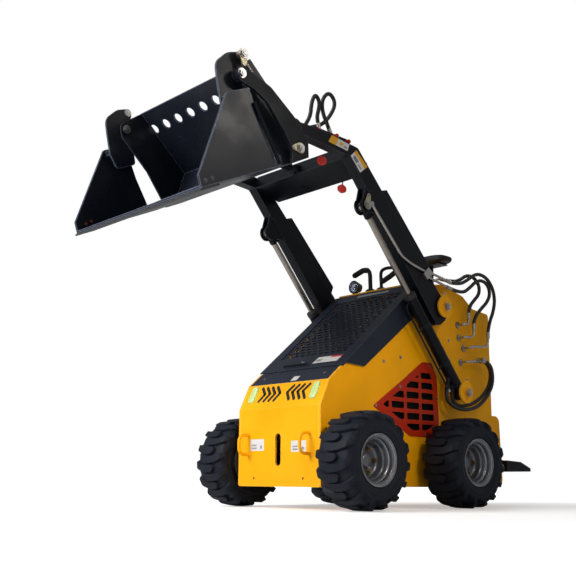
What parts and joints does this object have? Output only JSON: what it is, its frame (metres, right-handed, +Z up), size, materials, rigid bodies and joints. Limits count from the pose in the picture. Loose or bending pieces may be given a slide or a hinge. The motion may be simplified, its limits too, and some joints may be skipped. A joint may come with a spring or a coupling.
{
  "type": "skid steer loader",
  "caption": "Compact stand-on wheeled skid steer loader with raised lift arms, a split clam bucket, an opening hood with a mesh window, a foot platform and rubber tyres.",
  "frame": {"origin": "on the ground, below the middle of the overall width and length", "axes": "+Z up, -Y towards the bucket, +X to the side of the machine that carries the hoses"},
  "size_m": [1.1032, 2.6732, 2.0564],
  "materials": {
    "yellow_paint": "satin",
    "dark_paint": "satin",
    "red_paint": "satin",
    "tyre": "matte",
    "grip_rubber": "matte",
    "rim_paint": "satin",
    "bright_steel": "satin",
    "edge_steel": "satin",
    "cast_metal": "matte",
    "mesh_steel": "satin",
    "lamp_glass": "gloss",
    "hose_rubber": "matte",
    "red_plastic": "matte"
  },
  "bodies": {
    "chassis": {"side_plate_left": "yellow_paint", "side_plate_right": "yellow_paint", "front_plate": "yellow_paint", "belly_pan": "yellow_paint", "rear_panel": "yellow_paint", "hood_strip": "yellow_paint", "top_cover": "yellow_paint", "engine_block": "cast_metal", "side_grilles": "red_paint", "pivot_plates": "yellow_paint", "cylinder_pins": "yellow_paint", "wheel_motors": "cast_metal", "tie_down_loops": "yellow_paint", "front_lamps": "lamp_glass", "work_lamps": "dark_paint", "control_levers": "grip_rubber", "hip_pad": "grip_rubber", "rear_housing": "yellow_paint", "foot_platform": "dark_paint", "hydraulic_ports": "bright_steel", "supply_hose_inner": "hose_rubber", "supply_hose_middle": "hose_rubber", "supply_hose_outer": "hose_rubber", "lift_hose_inner": "hose_rubber", "lift_hose_outer": "hose_rubber"},
    "boom": {"arm_left": "dark_paint", "arm_right": "dark_paint", "cross_beam": "dark_paint", "arm_guards": "dark_paint", "rod_ears": "dark_paint", "boom_pins": "yellow_paint", "coupler_block": "dark_paint", "coupler_caps": "red_plastic", "coupler_hose_front": "hose_rubber", "coupler_hose_rear": "hose_rubber", "arm_pipes": "bright_steel"},
    "tilt_axle": {"hitch_pins": "bright_steel"},
    "bucket": {"blade": "dark_paint", "hitch_frame": "dark_paint", "hitch_ears": "dark_paint", "pivot_arms": "dark_paint"},
    "clam": {"clam": "dark_paint", "cutting_edge": "edge_steel"},
    "hood": {"hood": "dark_paint", "hood_mesh": "mesh_steel"},
    "lift_barrels": {"lift_barrels": "dark_paint"},
    "lift_rods": {"lift_rods": "bright_steel"},
    "tilt_barrel": {"tilt_barrel": "dark_paint"},
    "tilt_piston": {"tilt_piston": "bright_steel"},
    "tilt_rod": {"tilt_rod": "bright_steel"},
    "clam_barrels": {"clam_barrels": "dark_paint"},
    "clam_rods": {"clam_rods": "bright_steel"},
    "wheel_front_left": {"tyre_front_left": "tyre", "rim_front_left": "rim_paint"},
    "wheel_front_right": {"tyre_front_right": "tyre", "rim_front_right": "rim_paint"},
    "wheel_rear_left": {"tyre_rear_left": "tyre", "rim_rear_left": "rim_paint"},
    "wheel_rear_right": {"tyre_rear_right": "tyre", "rim_rear_right": "rim_paint"}
  },
  "joints": [
    {"name": "roll_front_left", "type": "hinge", "parent": "chassis", "child": "wheel_front_left", "pos_m": [0.444, -0.31229, 0.2286], "axis": [1, 0, 0], "continuous": true},
    {"name": "roll_front_right", "type": "hinge", "parent": "chassis", "child": "wheel_front_right", "pos_m": [-0.444, -0.31229, 0.2286], "axis": [1, 0, 0], "continuous": true},
    {"name": "roll_rear_left", "type": "hinge", "parent": "chassis", "child": "wheel_rear_left", "pos_m": [0.444, 0.44471, 0.2286], "axis": [1, 0, 0], "continuous": true},
    {"name": "roll_rear_right", "type": "hinge", "parent": "chassis", "child": "wheel_rear_right", "pos_m": [-0.444, 0.44471, 0.2286], "axis": [1, 0, 0], "continuous": true},
    {"name": "boom_lift", "type": "hinge", "parent": "chassis", "child": "boom", "pos_m": [0, 0.37721, 1.042], "axis": [1, 0, 0], "range_deg": [0, 75], "deforming": ["supply_hose_inner", "supply_hose_middle", "supply_hose_outer", "coupler_hose_front", "coupler_hose_rear"]},
    {"name": "bucket_level", "type": "hinge", "parent": "boom", "child": "tilt_axle", "pos_m": [0, -0.70883, 1.76832], "axis": [-1, 0, 0], "range_deg": [0, 100]},
    {"name": "bucket_tilt", "type": "hinge", "parent": "tilt_axle", "child": "bucket", "pos_m": [0, -0.70883, 1.76832], "axis": [-1, 0, 0], "range_deg": [-15, 25]},
    {"name": "clam_open", "type": "hinge", "parent": "bucket", "child": "clam", "pos_m": [0, -1.11919, 1.8719], "axis": [-1, 0, 0], "range_deg": [0, 60]},
    {"name": "hood_hinge", "type": "hinge", "parent": "chassis", "child": "hood", "pos_m": [0, 0.27821, 1.17], "axis": [-1, 0, 0], "range_deg": [0, 60]},
    {"name": "lift_swing", "type": "hinge", "parent": "chassis", "child": "lift_barrels", "pos_m": [0, 0.54021, 0.597], "axis": [1, 0, 0], "range_deg": [0, 51], "deforming": ["lift_hose_inner", "lift_hose_outer"]},
    {"name": "lift_draw", "type": "slide", "parent": "lift_barrels", "child": "lift_rods", "axis": [0, -0.6429, 0.766], "range_m": [-0.422, 0.002]},
    {"name": "tilt_swing", "type": "hinge", "parent": "boom", "child": "tilt_barrel", "pos_m": [0, -0.35779, 1.735], "axis": [1, 0, 0], "range_deg": [-1.8, 1]},
    {"name": "level_draw", "type": "slide", "parent": "tilt_barrel", "child": "tilt_piston", "axis": [0, -0.9765, 0.2154], "range_m": [-0.111, 0.002]},
    {"name": "tilt_draw", "type": "slide", "parent": "tilt_piston", "child": "tilt_rod", "axis": [0, -0.9765, 0.2154], "range_m": [-0.026, 0.017]},
    {"name": "clam_swing", "type": "hinge", "parent": "bucket", "child": "clam_barrels", "pos_m": [0, -0.7709, 1.61562], "axis": [-1, 0, 0], "range_deg": [0, 3]},
    {"name": "clam_draw", "type": "slide", "parent": "clam_barrels", "child": "clam_rods", "axis": [0, -0.6791, 0.734], "range_m": [-0.106, 0.002]}
  ],
  "couplings": [
    {"joint": "bucket_level", "follows": "boom_lift", "ratio": 1.328},
    {"joint": "lift_swing", "follows": "boom_lift", "ratio": 0.6706},
    {"joint": "lift_draw", "follows": "boom_lift", "m_per_rad": -0.31929},
    {"joint": "tilt_swing", "follows": "boom_lift", "ratio": -0.01069},
    {"joint": "level_draw", "follows": "boom_lift", "m_per_rad": -0.081605},
    {"joint": "tilt_draw", "follows": "bucket_tilt", "m_per_rad": -0.055},
    {"joint": "clam_swing", "follows": "clam_open", "ratio": 0.03335},
    {"joint": "clam_draw", "follows": "clam_open", "m_per_rad": -0.097196}
  ]
}
